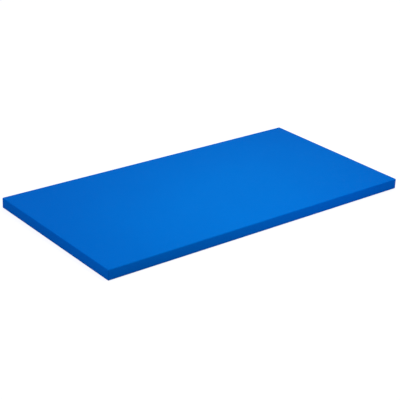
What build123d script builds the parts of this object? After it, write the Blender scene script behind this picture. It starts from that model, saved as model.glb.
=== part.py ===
from build123d import *
from math import atan2, degrees, hypot
import os

os.makedirs("parts", exist_ok=True)

# A large, flat balance pad, in millimetres. A blue coated cover is folded down over a
# sandwich of three foams, turned under as a hem and closed below by an anti-slip base.
# A coil zip along the rear side lets the foam out when the cover is washed.
#
# The origin is the middle of the underside. X runs along the pad, Y across it from the
# front side to the rear side, and Z up from the floor.

# Whole pad
length = 2000.0
width = 1000.0
height = 60.0

# Cover and base
cover_wall = 0.9           # coated fabric of the top, the sides and the hem
edge_radius = 5.0          # outside of the fold along the top and the bottom edges
corner_ease = 1.5          # upright corners are rounder than the folds by this much
hem_width = 30.0           # strip of cover turned under the pad
base_wall = 1.0            # anti-slip fabric
base_inset = 12.0          # from the pad's outline to the edge of the base
base_corner_radius = 10.0
corner_tape_wall = 0.5     # webbing behind each upright corner seam
corner_tape_leg = 20.0

# Foam
firm_layer = 10.0          # closed-cell foam on top and below
glue_film = 0.3
foam_seat_gap = 0.3        # between the lower foam's middle and the edge of the hem
foam_groove_relief = 0.7   # between the slider's lower plate and the groove cut for it

# Zip chain
zip_end_margin = 60.0      # from the pad's end to the end of the slot for the zip
row_width = 5.0            # one row of coil, from its heads to its back
row_height = 3.0
tape_wall = 0.5
tape_width = 17.0
tape_setback = 1.8         # the heads reach this far past the tape's edge
tape_tail = 12.0           # plain tape past the ends of the slot
slot_gap = 0.6             # from the slider's side to the edge of the slot
stop_wall = 0.6
top_stop_length = 4.0
bottom_stop_length = 6.0
patch_length = 36.0
patch_overlap = 8.0        # of an end patch, above and below the slot
patch_wall = 0.9

# Slider
running_gap = 0.3          # between the slider and what it slides on
slider_length = 18.0
slider_mouth_run = 11.0    # from where the rows part to the twin mouths
parting_length = 8.0       # length of the S in which a row is pushed aside
plate_wall = 1.3
flange_wall = 1.2
shoulder_radius = 2.0
plate_edge_radius = 0.45
wedge_width = 3.2
wedge_nose_radius = 0.12
wedge_nose_run = 2.9       # from where the rows part to the middle of the wedge's nose
wedge_heel_run = 8.6       # and to the middle of its round heel
bridge_length = 11.2
bridge_width = 2.2
bridge_wall = 1.4
bridge_leg = 2.2
bridge_radius = 2.3

# Pull tab
tab_length = 34.0
tab_width = 9.6
tab_wall = 1.6
tab_arm = 2.4              # each side of the eye
tab_bar_radius = 0.9
eye_gap = 0.4              # between the bridge and the eye
grip_slot_length = 11.0
grip_slot_width = 3.4
grip_rim = 3.2             # from the grip slot to the tab's free end
rib_count = 4
rib_pitch = 1.9
rib_width = 0.9
rib_rise = 0.3

# Levels, from the floor up
hem_low = base_wall
hem_high = hem_low + cover_wall
cover_inner_top = height - cover_wall
lower_glue_low = hem_low + firm_layer
core_low = lower_glue_low + glue_film
upper_layer_low = cover_inner_top - firm_layer
core_high = upper_layer_low - glue_film
zip_z = height / 2

# Cover's outline and the space inside it
corner_radius = edge_radius + corner_ease
inner_length = length - 2 * cover_wall
inner_width = width - 2 * cover_wall
inner_corner_radius = corner_radius - cover_wall
foam_length = inner_length - 2 * corner_tape_wall
foam_width = inner_width - 2 * corner_tape_wall

# Rear side, along Y: the tape lies on the inner face of the wall, between it and the foam
wall_inner = inner_width / 2
wall_outer = width / 2
tape_inner = wall_inner - tape_wall
row_top = wall_inner + row_height

# Slider, along Y
lower_plate_high = tape_inner - running_gap
lower_plate_low = lower_plate_high - plate_wall
flange_low = wall_inner + running_gap
upper_plate_low = row_top + running_gap
upper_plate_high = upper_plate_low + plate_wall
tab_axis_y = upper_plate_high + running_gap + tab_bar_radius
bridge_underside = tab_axis_y + tab_bar_radius + running_gap
bridge_top = bridge_underside + bridge_wall

# Eye of the tab, which has to clear the bridge in the middle and all the way round
eye_width = bridge_width + 2 * eye_gap
eye_reach = hypot(bridge_length / 2, bridge_top - tab_axis_y) + eye_gap

# Across the chain, measured from its middle
row_shift = wedge_width / 2 + running_gap          # how far the wedge parts each row
channel_edge = row_width + running_gap
flange_edge = channel_edge + flange_wall
slot_half = flange_edge + row_shift + slot_gap
patch_half = slot_half + patch_overlap

# Along the chain
slot_end = length / 2 - zip_end_margin
chain_end = slot_end - patch_length / 2 - running_gap
slider_front = chain_end - top_stop_length - running_gap
slider_rear = slider_front - slider_length
parting_x = slider_front - slider_mouth_run
slider_x = (slider_front + slider_rear) / 2
bottom_stop_face = -chain_end + bottom_stop_length
slider_travel = slider_rear - bottom_stop_face - running_gap

# The two equal arcs of the S that carries a row from the middle to beside the wedge
parting_angle = 2 * atan2(row_shift, parting_length)
parting_radius = hypot(row_shift, parting_length) ** 2 / (4 * row_shift)


def slab(long, wide, low, high, corner):
    """A flat block with round upright corners, between two levels."""
    return extrude(Pos(0, 0, low) * RectangleRounded(long, wide, corner), high - low)


def box_between(x0, x1, y0, y1, z0, z1):
    """A plain box between two opposite corners."""
    middle = Pos((x0 + x1) / 2, (y0 + y1) / 2, (z0 + z1) / 2)
    return middle * Box(x1 - x0, y1 - y0, z1 - z0)


def round_top(block, radius):
    return fillet(block.faces().sort_by(Axis.Z)[-1].edges(), radius)


def round_bottom(block, radius):
    return fillet(block.faces().sort_by(Axis.Z)[0].edges(), radius)


# ---- Cover and base ------------------------------------------------------------------


def cover_skin():
    """Top, four folded sides and the hem under them, before the rear side is cut."""
    outer = slab(length, width, hem_low, height, corner_radius)
    outer = round_bottom(round_top(outer, edge_radius), edge_radius)
    inner = slab(inner_length, inner_width, hem_high, cover_inner_top, inner_corner_radius)
    inner = round_bottom(round_top(inner, edge_radius - cover_wall), edge_radius - cover_wall)
    mouth = slab(length - 2 * hem_width, width - 2 * hem_width, 0, hem_high + 1, corner_radius)
    return outer - inner - mouth


def rear_opening(low, high):
    """The stretch of the rear side between the ends of the zip's slot, with its hem."""
    return box_between(-slot_end, slot_end, width / 2 - hem_width, width, low, high)


def cover_shell():
    """One piece: top, front, ends and the rear side above the zip."""
    return cover_skin() - rear_opening(0, zip_z + slot_half)


def rear_lower_strip():
    """The rear side below the zip, with its own stretch of hem."""
    return cover_skin() & rear_opening(0, zip_z - slot_half)


def base_panel():
    """Anti-slip fabric sewn under the hem. The pad rests on it."""
    long = length - 2 * base_inset
    wide = width - 2 * base_inset
    return slab(long, wide, 0, base_wall, base_corner_radius)


def corner_tape(end, side):
    """Webbing folded round the inside of an upright corner, between the two folds."""
    low = hem_low + edge_radius
    high = height - edge_radius
    bend = inner_corner_radius + corner_tape_wall     # clear of the cover's own bend
    ring = slab(inner_length, inner_width, low, high, bend)
    ring -= slab(foam_length, foam_width, low, high, inner_corner_radius)
    reach = corner_tape_leg + bend
    corner_x = end * (inner_length / 2 - reach / 2)
    corner_y = side * (inner_width / 2 - reach / 2)
    return ring & Pos(corner_x, corner_y, height / 2) * Box(reach, reach, height)


# ---- Foam sandwich -------------------------------------------------------------------


def foam_block(low, high):
    """A layer of the sandwich. It stays inside the webbing at the corners."""
    return slab(foam_length, foam_width, low, high, corner_radius)


def foam_top_layer():
    return round_top(foam_block(upper_layer_low, cover_inner_top), edge_radius)


def foam_bottom_layer():
    """Its rim lies on the hem, and its middle reaches down to the base."""
    rim = round_bottom(foam_block(hem_high, lower_glue_low), edge_radius)
    inset = 2 * (hem_width + foam_seat_gap)
    return rim + slab(length - inset, width - inset, hem_low, hem_high, corner_radius)


def foam_core():
    """Soft core, with a groove along the rear in which the slider's lower plate runs."""
    groove_low = lower_plate_low - foam_groove_relief
    groove = box_between(-slot_end, slot_end, groove_low, width / 2,
                         zip_z - slot_half, zip_z + slot_half)
    return foam_block(core_low, core_high) - groove


# ---- Zip chain -----------------------------------------------------------------------


def on_rear(sketch, low, high):
    """Extrude a sketch drawn along and across the chain, from y = low to y = high."""
    wall = Plane(origin=(0, high, zip_z), x_dir=(1, 0, 0), z_dir=(0, -1, 0))
    return extrude(wall * sketch, high - low)


def parted_line(x0, x1, across):
    """A line along the chain that steps aside by row_shift where the rows part."""
    start = Line((x0, across), (parting_x, across))
    turn = degrees(parting_angle)
    first = JernArc(start @ 1, (1, 0), parting_radius, turn)
    second = JernArc(first @ 1, first % 1, parting_radius, -turn)
    end = Line(second @ 1, (x1, across + row_shift))
    return start + first + second + end


def parted_strip(x0, x1, inner, outer):
    """The area between two such lines."""
    near = parted_line(x0, x1, inner)
    far = parted_line(x0, x1, outer)
    ends = Line(near @ 0, far @ 0) + Line(near @ 1, far @ 1)
    return make_face(near.edges() + far.edges() + ends.edges())


def both_halves(half):
    return half + mirror(half, Plane.XZ)


def mirrored_if(sketch, side):
    """Sketches are drawn above the chain's middle, and turned over for the lower side."""
    return sketch if side > 0 else mirror(sketch, Plane.XZ)


def zip_coil(side):
    """The envelope of one row of coil: whole chain closed, parted at the slider."""
    row = parted_strip(-chain_end, chain_end, 0, row_width)
    return on_rear(mirrored_if(row, side), wall_inner, row_top)


def zip_tape(side):
    """Woven tape under a row. Its edge follows the row, its back edge is straight."""
    end = slot_end + tape_tail
    edge = parted_line(-end, end, tape_setback)
    back = tape_setback + tape_width
    sides = Polyline(edge @ 0, (-end, back), (end, back), edge @ 1)
    tape = make_face(edge.edges() + sides.edges())
    return on_rear(mirrored_if(tape, side), tape_inner, wall_inner)


def zip_top_stops():
    """Two metal clips crimped over the ends of the rows, against the slider's front."""
    low = row_shift - stop_wall
    high = row_shift + row_width + stop_wall
    middle = Pos(chain_end - top_stop_length / 2, (low + high) / 2)
    outline = middle * RectangleRounded(top_stop_length, high - low, stop_wall)
    clips = on_rear(both_halves(outline), wall_inner, row_top + stop_wall)
    return clips - zip_coil(1) - zip_coil(-1)


def zip_bottom_stop():
    """One clip over both rows, where the slider ends its travel."""
    middle = Pos(-chain_end + bottom_stop_length / 2, 0)
    wide = 2 * (row_width + stop_wall)
    outline = middle * RectangleRounded(bottom_stop_length, wide, stop_wall)
    clip = on_rear(outline, wall_inner, row_top + stop_wall)
    return clip - zip_coil(1) - zip_coil(-1)


def zip_end_patch(end):
    """A patch of cover fabric sewn over one end of the slot."""
    outline = Pos(end * slot_end, 0) * RectangleRounded(patch_length, 2 * patch_half, edge_radius)
    return on_rear(outline, wall_outer, wall_outer + patch_wall)


# ---- Slider and pull tab -------------------------------------------------------------


def slider_plan():
    """Outline of both plates: narrow behind, wide at the shoulders."""
    half = parted_strip(slider_rear, slider_front, 0, flange_edge)
    below = Rectangle(slider_mouth_run, row_shift + 1, align=(Align.MAX, Align.MIN))
    half += Pos(slider_front, 0) * below
    plan = both_halves(half)
    corners = plan.vertices().filter_by(
        lambda v: min(abs(v.X - slider_front), abs(v.X - slider_rear)) < 0.01
        and abs(v.Y) > row_width)
    return fillet(corners, shoulder_radius)


def slider_channel():
    """The Y-shaped way through the slider, which both rows fill."""
    return both_halves(parted_strip(slider_rear - 1, slider_front + 1, 0, channel_edge))


def slider_wedge():
    """The diamond that parts the rows: a fine nose, flat flanks and a round heel."""
    nose = Pos(parting_x + wedge_nose_run, 0) * Circle(wedge_nose_radius)
    heel = Pos(parting_x + wedge_heel_run, 0) * Circle(wedge_width / 2)
    return make_hull(nose.edges() + heel.edges())


def slider_bridge():
    """The loop over the upper plate that holds the tab's bar."""
    foot = upper_plate_high - plate_edge_radius
    rise = bridge_top - foot
    outer = Pos(slider_x, foot) * Rectangle(bridge_length, rise, align=(Align.CENTER, Align.MIN))
    crown = outer.vertices().group_by(Axis.Y)[-1]
    outer = fillet(crown, bridge_radius)
    inner_length_x = bridge_length - 2 * bridge_leg
    inner_rise = bridge_underside - upper_plate_high
    inner = Rectangle(inner_length_x, inner_rise, align=(Align.CENTER, Align.MIN))
    inner = fillet(inner.vertices().group_by(Axis.Y)[-1], bridge_radius - bridge_wall)
    loop = outer - Pos(slider_x, upper_plate_high) * inner
    return extrude(Pos(0, 0, zip_z) * loop, bridge_width / 2, both=True)


def zip_slider_body():
    """Two plates joined by the wedge, with flanges that hold the rows together."""
    plan = slider_plan()
    upper = on_rear(plan, flange_low, upper_plate_high)
    upper -= on_rear(slider_channel(), flange_low - 1, upper_plate_low)
    upper = fillet(upper.faces().sort_by(Axis.Y)[-1].edges(), plate_edge_radius)
    lower = on_rear(plan, lower_plate_low, lower_plate_high)
    lower = fillet(lower.faces().sort_by(Axis.Y)[0].edges(), plate_edge_radius)
    wedge = on_rear(slider_wedge(), lower_plate_high, upper_plate_low)
    return upper + wedge + lower + slider_bridge()


def tab_plan():
    """Outline of the tab, drawn from its bar at x = 0 towards its free end."""
    neck = eye_width / 2 + tab_arm
    grip = tab_width / 2
    waist_end = eye_reach + tab_arm + tab_width
    side = Line((0, neck), (-eye_reach, neck))
    flare = Spline((-eye_reach, neck), (-waist_end, grip), tangents=[(-1, 0), (-1, 0)])
    run = Line((-waist_end, grip), (-tab_length + grip, grip))
    end = CenterArc((-tab_length + grip, 0), grip, 90, 90)
    middle = Line((-tab_length, 0), (0, 0)) + Line((0, 0), (0, neck))
    half = make_face(side.edges() + flare.edges() + run.edges() + end.edges() + middle.edges())
    return both_halves(half)


def tab_ribs():
    """Raised bars across the tab, for the finger."""
    first = -(eye_reach + tab_arm + tab_width / 2)
    ribs = [Pos(first - i * rib_pitch, 0) * SlotOverall(tab_width - 2 * tab_arm, rib_width, 90)
            for i in range(rib_count)]
    return Sketch() + ribs


def zip_pull_tab():
    """A flat tab whose bar lies under the slider's bridge, which stands in its eye."""
    eye = Rectangle(eye_reach + 1, eye_width, align=(Align.MAX, Align.CENTER))
    eye = Pos(1, 0) * fillet(eye.vertices().group_by(Axis.X)[0], eye_width / 3)
    slot_x = -tab_length + grip_rim + grip_slot_length / 2
    plan = tab_plan() - eye - Pos(slot_x, 0) * SlotOverall(grip_slot_length, grip_slot_width)
    low = tab_axis_y - tab_wall / 2
    high = tab_axis_y + tab_wall / 2
    at_slider = Pos(slider_x, 0)
    tab = on_rear(at_slider * plan, low, high)
    ribs = on_rear(at_slider * tab_ribs(), high, high + rib_rise)
    bar_length = eye_width + 2 * tab_arm
    bar = Pos(slider_x, tab_axis_y, zip_z) * Cylinder(tab_bar_radius, bar_length)
    return tab + bar + ribs


# ---- Write every piece ---------------------------------------------------------------

pieces = {
    "cover_shell": cover_shell(),
    "rear_lower_strip": rear_lower_strip(),
    "base_panel": base_panel(),
    "foam_top_layer": foam_top_layer(),
    "upper_glue_film": foam_block(core_high, upper_layer_low),
    "foam_core": foam_core(),
    "lower_glue_film": foam_block(lower_glue_low, core_low),
    "foam_bottom_layer": foam_bottom_layer(),
    "zip_top_stops": zip_top_stops(),
    "zip_bottom_stop": zip_bottom_stop(),
    "zip_slider_body": zip_slider_body(),
    "zip_pull_tab": zip_pull_tab(),
}

for end_name, end in (("left", -1), ("right", 1)):
    pieces[f"zip_end_patch_{end_name}"] = zip_end_patch(end)
    for side_name, side in (("front", -1), ("rear", 1)):
        pieces[f"corner_tape_{side_name}_{end_name}"] = corner_tape(end, side)

for row_name, side in (("lower", -1), ("upper", 1)):
    pieces[f"zip_coil_{row_name}"] = zip_coil(side)
    pieces[f"zip_tape_{row_name}"] = zip_tape(side)

for name, piece in pieces.items():
    export_step(piece, f"parts/{name}.step")

print(f"slider: x {slider_x:.2f}, travel {slider_travel:.2f} towards -X")
print(f"tab's hinge: x {slider_x:.2f}, y {tab_axis_y:.2f}, z {zip_z:.2f}")
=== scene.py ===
# %% [markdown]
# # A large flat balance pad
#
# The pad is a sandwich of foams in a coated fabric cover. The cover is folded down over the
# foam, turned under as a hem and sewn to a dark anti-slip base. A coil zip runs along the
# rear side. This notebook builds everything that can be seen or touched, on top of a frame
# that already holds the true sizes, so every length here is read from that frame.

# %% The frame
import math
import bmesh
import bpy
import numpy as np
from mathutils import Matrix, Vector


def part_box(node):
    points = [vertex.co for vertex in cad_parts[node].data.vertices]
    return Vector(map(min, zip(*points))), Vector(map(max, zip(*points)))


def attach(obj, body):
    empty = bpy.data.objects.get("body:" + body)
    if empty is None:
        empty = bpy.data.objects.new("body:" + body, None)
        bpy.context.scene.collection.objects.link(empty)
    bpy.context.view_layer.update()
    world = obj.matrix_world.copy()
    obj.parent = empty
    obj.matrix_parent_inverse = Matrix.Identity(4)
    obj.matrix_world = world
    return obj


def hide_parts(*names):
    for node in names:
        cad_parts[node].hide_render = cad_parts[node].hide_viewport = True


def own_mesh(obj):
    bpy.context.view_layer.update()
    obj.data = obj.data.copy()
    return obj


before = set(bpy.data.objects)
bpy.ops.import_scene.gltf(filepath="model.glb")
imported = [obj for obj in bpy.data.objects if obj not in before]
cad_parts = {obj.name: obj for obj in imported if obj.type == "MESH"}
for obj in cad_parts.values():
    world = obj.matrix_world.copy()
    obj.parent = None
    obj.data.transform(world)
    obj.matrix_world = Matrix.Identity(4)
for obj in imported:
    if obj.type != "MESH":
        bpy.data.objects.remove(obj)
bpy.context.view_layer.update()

MM = 0.001


# %% [markdown]
# ## Sizes from the frame
#
# A maker works from a cutting list. Ours is the box of each sub-part: the cover gives the
# outline, the hem strip gives the slot of the zip, and the tapes and rows give the chain.
# Reading them once keeps every later surface in its place.

# %% The cutting list
def corners_of(node):
    """The lowest and the highest corner of a sub-part's box, in metres."""
    return np.array(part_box(node))


cover_low, cover_high = corners_of("cover_shell")
strip_low, strip_high = corners_of("rear_lower_strip")
base_low, base_high = corners_of("base_panel")
row_low, row_high = corners_of("zip_coil_upper")
tape_low, tape_high = corners_of("zip_tape_upper")
patch_low, patch_high = corners_of("zip_end_patch_right")
slider_low, slider_high = corners_of("zip_slider_body")

half_length, half_width = cover_high[0], (cover_high[1] - cover_low[1]) / 2
top_z, hem_z = cover_high[2], cover_low[2]
zip_z = (base_low[2] + top_z) / 2
slot_end = strip_high[0]
slot_low = strip_high[2]
slot_high = 2 * zip_z - slot_low
hem_width = strip_high[1] - strip_low[1]
cover_wall = half_width - tape_high[1]
edge_radius = 5 * MM
corner_radius = 6.5 * MM
print(f"cover {2 * half_length:.3f} x {2 * half_width:.3f} x {top_z:.3f} m, wall {cover_wall:.4f} m")


# %% [markdown]
# ## Turning arrays into meshes
#
# A surface is a function of two parameters, so it comes as a grid of points with rows and
# columns. Four neighbouring points make one face. Both are worked out as whole arrays, which
# is much quicker than placing one vertex after another.

# %% Grids
def joined(*axes):
    """Points, or any rows of numbers, from arrays of their single coordinates."""
    return np.stack(np.broadcast_arrays(*axes), axis=-1)


def grid_quads(rows, columns, closed=False):
    """Corner numbers of each face of a grid: (i, j), (i, j+1), (i+1, j+1), (i+1, j)."""
    i, j = np.meshgrid(np.arange(rows - 1), np.arange(columns - (not closed)), indexing="ij")
    k = (j + 1) % columns
    return joined(i * columns + j, i * columns + k, (i + 1) * columns + k, (i + 1) * columns + j)


print("faces of a grid of 3 by 4 points:", grid_quads(3, 4).reshape(-1, 4).shape[0])


# %% [markdown]
# A piece is a mesh object made from such arrays. Points that meet are welded, the faces are
# turned outwards, and the piece is told that it rides on the pad. Fabric is first a surface
# without thickness, as it is when it is cut. Its wall is added afterwards and grows inwards,
# so that the outside stays where it was drawn.

# %% Pieces
def make_piece(name, points, faces, slot=None, replaces=None, merge=True):
    """A mesh object of the pad's body, welded where points meet, with faces outwards.

    The faces are an array of quads, or a list where some have more corners. The slot is not
    used, and replaces names the plain sub-part that it stands for.
    """
    if not isinstance(faces, list):
        faces = np.reshape(faces, (-1, 4)).tolist()
    mesh = bpy.data.meshes.new(name)
    mesh.from_pydata(np.reshape(points, (-1, 3)).tolist(), [], faces)
    piece = bpy.data.objects.new(name, mesh)
    bpy.context.collection.objects.link(piece)
    if merge:
        work = bmesh.new()
        work.from_mesh(mesh)
        bmesh.ops.remove_doubles(work, verts=work.verts, dist=1e-6)
        loose = [v for v in work.verts if not v.link_faces]
        bmesh.ops.delete(work, geom=loose, context="VERTS")
        bmesh.ops.recalc_face_normals(work, faces=work.faces)
        work.to_mesh(mesh)
        work.free()
    mesh.shade_smooth()
    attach(piece, "pad")
    if replaces:
        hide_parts(replaces)
    return piece


def give_wall(piece, thickness, facing=None):
    """Makes a single surface into fabric of that thickness, growing inwards.

    An open surface that faces the wrong way is turned over first.
    """
    if facing is not None:
        normals = np.array([face.normal for face in piece.data.polygons])
        if normals.mean(axis=0) @ facing < 0:
            piece.data.flip_normals()
    wall = piece.modifiers.new("fabric thickness", "SOLIDIFY")
    wall.thickness = thickness
    wall.offset = -1
    return piece


# %% [markdown]
# ## The cover
#
# The real cover is one sheet of coated fabric. Its rim is folded down over the foam, the
# four corners are seamed upright, and the last 30 mm are turned under. A box with bevelled
# edges would have the outline, but not the long soft waves of fabric pulled over foam, the
# corner seams, or the doubled lips along the zip.
#
# So the cover is a flat grid for the top, plus a band that goes round it. Round the band one
# parameter follows the outline, and the other follows the section of the side.

# %% The outline
def side_samples(half, step, stops=()):
    """Places along a side from -half to half, about one step apart, with the stops among them."""
    marks = np.array(sorted({-half, half, *stops}))
    runs = [np.linspace(a, b, max(2, int(round((b - a) / step)) + 1)) for a, b in zip(marks, marks[1:])]
    return np.unique(np.concatenate(runs).round(7))


def outline(xs, ys, corner_steps):
    """Base points, outward directions and corner angles of a ring, anticlockwise from the front.

    Along a side the direction is constant. In a corner the base point stays where it is,
    and the direction turns through a right angle, which makes the corner's arc.
    """
    turns = np.linspace(0, np.pi / 2, corner_steps + 1)[1:-1]
    base, angle, bend = [], [], []
    sides = (((xs, ys[0]), -np.pi / 2), ((xs[-1], ys), 0),
             ((xs[::-1], ys[-1]), np.pi / 2), ((xs[0], ys[::-1]), np.pi))
    for side, facing in sides:
        run = joined(*side)
        base += [run, np.repeat(run[-1:], len(turns), axis=0)]
        angle += [np.full(len(run), facing), facing + turns]
        bend += [np.full(len(run), np.pi / 4), turns - np.pi / 4]
    base, angle, bend = (np.concatenate(part) for part in (base, angle, bend))
    return base, joined(np.cos(angle), np.sin(angle)), bend


xs = side_samples(half_length - corner_radius, 10 * MM, (-slot_end, slot_end))
ys = side_samples(half_width - corner_radius, 10 * MM)
base, out, bend = outline(xs, ys, 16)
print(f"cover: {len(xs)} x {len(ys)} points on top, {len(base)} round the sides")


# %% [markdown]
# The section runs over the fold, down the side, under the lower fold and inwards along the
# hem. It has more levels near the slot of the zip, because the fabric is turned over there
# and makes two thick lips. Carrying the section round the outline gives the whole band.

# %% The section
def upper_fold(high, radius, steps):
    """A quarter circle, as distance outwards and height, from the top over to the side."""
    t = np.linspace(0, np.pi / 2, steps)
    return joined(corner_radius - radius + radius * np.sin(t), high - radius + radius * np.cos(t))


def lower_fold(low, radius, steps):
    """The same quarter circle upside down, from the side round to the underside."""
    return upper_fold(-low, radius, steps)[::-1] * (1, -1)


def carry_round(base, out, section):
    """Points of the band: base point + distance x direction, and mitred where it runs inwards."""
    d, z = section[:, 0, None, None], section[:, 1, None]
    half = np.abs(base).max(axis=0)
    flat = base * (1 + np.minimum(d, 0) / half) + np.maximum(d, 0) * out
    return joined(flat[..., 0], flat[..., 1], z)


lip_width = 8 * MM
from_slot = np.array((0, 1.2 * MM, 0.75 * lip_width, lip_width))
slot_levels = np.concatenate((slot_high + from_slot, slot_low - from_slot))
plain_levels = np.linspace(top_z - edge_radius, hem_z + edge_radius, 9)[1:-1]
levels = np.unique(np.concatenate((slot_levels, plain_levels)).round(6))[::-1]
section = np.vstack(([0, top_z], upper_fold(top_z, edge_radius, 7), joined(corner_radius, levels),
                     lower_fold(hem_z, edge_radius, 7),
                     joined((0, -hem_width / 3, corner_radius - hem_width), hem_z)))
print(f"section: {len(section)} points, from {top_z:.4f} m down to {hem_z:.4f} m")


# %% [markdown]
# The sides are cut and sewn with a little spare cloth, so they do not lie dead flat on the
# foam. Nobody draws such dents well by hand, so they are simulated. One strip of cloth runs
# round all four sides. It is held at its top and bottom edges, at the four corner seams and
# along the zip. It starts very slightly uneven and grows by one part in a hundred, and a plate
# behind it stands in for the foam. The spare cloth can only swell outwards, and here and there
# it buckles.
#
# The solver handles small cloth badly, so the strip is simulated twenty times larger and its
# result scaled back. Only the stand-off is kept: the strip itself is thrown away.

# %% Spare cloth on the sides
def spare_cloth(sides, height, zip_reach, rows=8, step=7 * MM, growth=0.01, frames=24,
                enlarged=20, seed=3):
    """Places round the ring, and how far the cloth stands off there, one row for each height.

    The sides run front, right, rear, left. The zip reaches as far as given, each way from the
    middle of the rear.
    """
    marks = np.concatenate(([0], np.cumsum(sides)))
    ring = np.unique(np.concatenate([side_samples(side / 2, step) + start + side / 2
                                     for side, start in zip(sides, marks)]).round(6))
    x, z = np.meshgrid(ring, np.linspace(0, height, rows))
    uneven = 0.3 * MM
    start = uneven * np.random.default_rng(seed).random(x.shape) * np.sin(np.pi * z / height)
    sheet = make_piece("spare_cloth", enlarged * joined(x, start, z), grid_quads(*x.shape), merge=False)
    number = np.arange(x.size).reshape(x.shape)
    held = np.zeros(x.shape, dtype=bool)
    held[[0, -1]] = True
    held[:, np.abs(ring[:, None] - marks).min(axis=1) < 1.2 * step] = True
    held[rows // 2 - 1:rows // 2 + 1, np.abs(ring - marks[2:4].mean()) < zip_reach] = True
    sheet.vertex_groups.new(name="sewn").add(number[held].tolist(), 1.0, "REPLACE")

    far, gap = enlarged * (marks[-1] + 1), 2 * MM
    plate_corners = [(-far, -gap, -far), (far, -gap, -far), (far, -gap, far), (-far, -gap, far)]
    plate = make_piece("foam_plate", plate_corners, [(0, 3, 2, 1)], merge=False)
    plate.modifiers.new("foam", "COLLISION")
    plate.collision.thickness_outer = gap / 2
    solver = sheet.modifiers.new("cloth", "CLOTH")
    cloth = solver.settings
    cloth.quality, cloth.mass, cloth.air_damping = 8, 0.3, 1
    cloth.tension_stiffness = cloth.compression_stiffness = 20
    cloth.shear_stiffness = cloth.bending_stiffness = 10
    cloth.vertex_group_mass = "sewn"
    cloth.shrink_min = -growth
    cloth.effector_weights.gravity = 0
    solver.collision_settings.distance_min = gap / 2
    solver.point_cache.frame_end = frames
    scene = bpy.context.scene
    for frame_number in range(1, frames + 1):
        scene.frame_set(frame_number)
    hung = sheet.evaluated_get(bpy.context.evaluated_depsgraph_get()).data
    place = np.empty(3 * x.size)
    hung.vertices.foreach_get("co", place)
    scene.frame_set(1)
    for helper in (sheet, plate):
        mesh = helper.data
        bpy.data.objects.remove(helper)
        bpy.data.meshes.remove(mesh)
    return ring, place.reshape(rows, -1, 3)[..., 1] / enlarged


side_lengths = [np.ptp(xs), np.ptp(ys)] * 2
patch_half_x = (patch_high[0] - patch_low[0]) / 2
cloth_ring, stand_off = spare_cloth(side_lengths, top_z - hem_z, slot_end + patch_half_x)
print(f"spare cloth: {stand_off.shape[1]} columns, stands off {1000 * stand_off.max():.2f} mm at most")


# %% [markdown]
# Fabric over foam is never quite flat. Three soft shapes are laid over the exact surface:
# long shallow waves on the top, the spare cloth of the sides, and the valley of each corner
# seam. All of them only push outwards or stay within the fabric's own thickness, so the foam
# inside keeps its room. They are kept to well under a millimetre: a pad this firm looks
# almost like a solid block, and larger waves would show as a quilt.

# %% Three soft shapes
def smoothstep(x, low, high):
    """0 below low, 1 above high, and 3t^2 - 2t^3 between them."""
    t = np.clip((x - low) / (high - low), 0, 1)
    return t * t * (3 - 2 * t)


def long_waves(x, y, seed=4, count=7, shortest=0.16, longest=0.7):
    """Shallow waves from 0 to 1: sines of random direction and length, added and scaled."""
    draw = np.random.default_rng(seed)
    turn = draw.uniform(0, np.pi, count)
    size = draw.uniform(shortest, longest, count)
    shift = draw.uniform(0, 2 * np.pi, count)
    total = sum(np.sin(2 * np.pi * (x * np.cos(a) + y * np.sin(a)) / s + p)
                for a, s, p in zip(turn, size, shift))
    return 0.5 + total / (2 * count)


top_wave, share_kept, faded_share = 0.6 * MM, 0.28, 0.35
valley_depth, valley_angle = 0.75 * MM, 0.13
lip_rise = 0.45 * MM


def stand_off_at(heights):
    """The spare cloth's stand-off on the band's own grid, faded out towards both folds."""
    steps = np.linalg.norm(np.diff(base, axis=0), axis=1)
    round_ring = np.concatenate(([0], np.cumsum(steps)))
    columns = np.stack([np.interp(round_ring, cloth_ring, row) for row in stand_off])
    rise = np.clip((heights - hem_z) / (top_z - hem_z), 0, 1)
    level = rise * (len(stand_off) - 1)
    below = np.minimum(level.astype(int), len(stand_off) - 2)
    part = (level - below)[:, None]
    held = smoothstep(rise, 0, faded_share) * smoothstep(1 - rise, 0, faded_share)
    return held[:, None] * ((1 - part) * columns[below] + part * columns[below + 1])


def soften_cover(points, out, bend, rear):
    """Adds the waves, the spare cloth, the corner valleys and, at the rear, the lips of the slot."""
    x, y, z = points[..., 0], points[..., 1], points[..., 2]
    soft = points.copy()
    soft[..., 2] += top_wave * long_waves(x, y) * smoothstep(z, top_z - 2 * edge_radius, top_z)
    push = share_kept * stand_off_at(z[:, 0])
    upright = (smoothstep(top_z - z, 0.2 * edge_radius, 2 * edge_radius)
               * smoothstep(z, hem_z, hem_z + edge_radius))
    push -= valley_depth * np.exp(-(bend / valley_angle) ** 2) * upright
    near_slot = np.abs(z - zip_z) - (slot_high - zip_z)
    lip = smoothstep(lip_width - near_slot, 0.8 * MM, 0.25 * lip_width + 0.6 * MM)
    push = np.where(rear, push * smoothstep(near_slot, 0, lip_width) + lip_rise * lip, push)
    soft[..., :2] += push[..., None] * out
    return soft


# %% [markdown]
# At the rear the band is interrupted. Between the corners, the slot of the zip is left out
# of the cover, and the strip below it belongs to a separate piece, as on the real pad. The
# grid of the top is then joined to what is left of the band.

# %% The cover and the strip below the zip
def together(*surfaces):
    """Several surfaces, each given as points and quads, as the points and quads of one."""
    points = [part.reshape(-1, 3) for part, _ in surfaces]
    starts = np.cumsum([0] + [len(part) for part in points])
    quads = [part.reshape(-1, 4) + start for (_, part), start in zip(surfaces, starts)]
    return np.concatenate(points), np.concatenate(quads)


def behind_slot(base, out):
    """Which columns of a band lie on the rear side, within the length of the zip's slot."""
    return (out[:, 1] > 0.999) & (np.abs(base[:, 0]) <= slot_end + 1e-6)


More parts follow.
